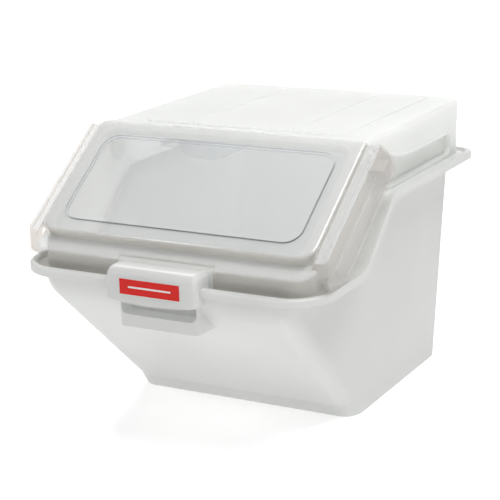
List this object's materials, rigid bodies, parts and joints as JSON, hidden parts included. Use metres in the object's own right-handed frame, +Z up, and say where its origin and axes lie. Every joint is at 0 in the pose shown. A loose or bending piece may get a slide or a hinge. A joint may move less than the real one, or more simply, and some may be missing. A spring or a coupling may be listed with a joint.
{
  "type": "ingredient bin",
  "caption": "Shelf bin for dry ingredients: sloped-front tub, hooded lift-off lid with a window, clear tilting door and a scoop under the hood.",
  "frame": {"origin": "on the floor, under the middle of the bin's overall box", "axes": "+Z up, -Y to the front with the pull and the sloped door, +X to the right as seen from behind the pull"},
  "size_m": [0.488, 0.615, 0.429],
  "materials": {
    "white_plastic": "satin, slightly translucent white",
    "lid_plastic": "satin, slightly translucent white",
    "clear_plastic": "clear and smooth",
    "guide_plastic": "satin",
    "label": "plain red with a blank white strip"
  },
  "bodies": {
    "tub_body": {"tub": "white_plastic", "handle_label": "label"},
    "lid_body": {"lid": "lid_plastic"},
    "door_body": {"door": "clear_plastic", "left_guide": "guide_plastic", "right_guide": "guide_plastic"},
    "scoop_body": {"scoop": "clear_plastic"}
  },
  "joints": [
    {"name": "lid_lift", "type": "slide", "parent": "tub_body", "child": "lid_body", "axis": [0, 0, 1], "range_m": [0, 0.15]},
    {"name": "door_tilt", "type": "hinge", "parent": "lid_body", "child": "door_body", "pos_m": [0, -0.04503, 0.38477], "axis": [-1, 0, 0], "range_deg": [0, 55]},
    {"name": "scoop_slide", "type": "slide", "parent": "lid_body", "child": "scoop_body", "axis": [0, -1, 0], "range_m": [0, 0.06]}
  ]
}
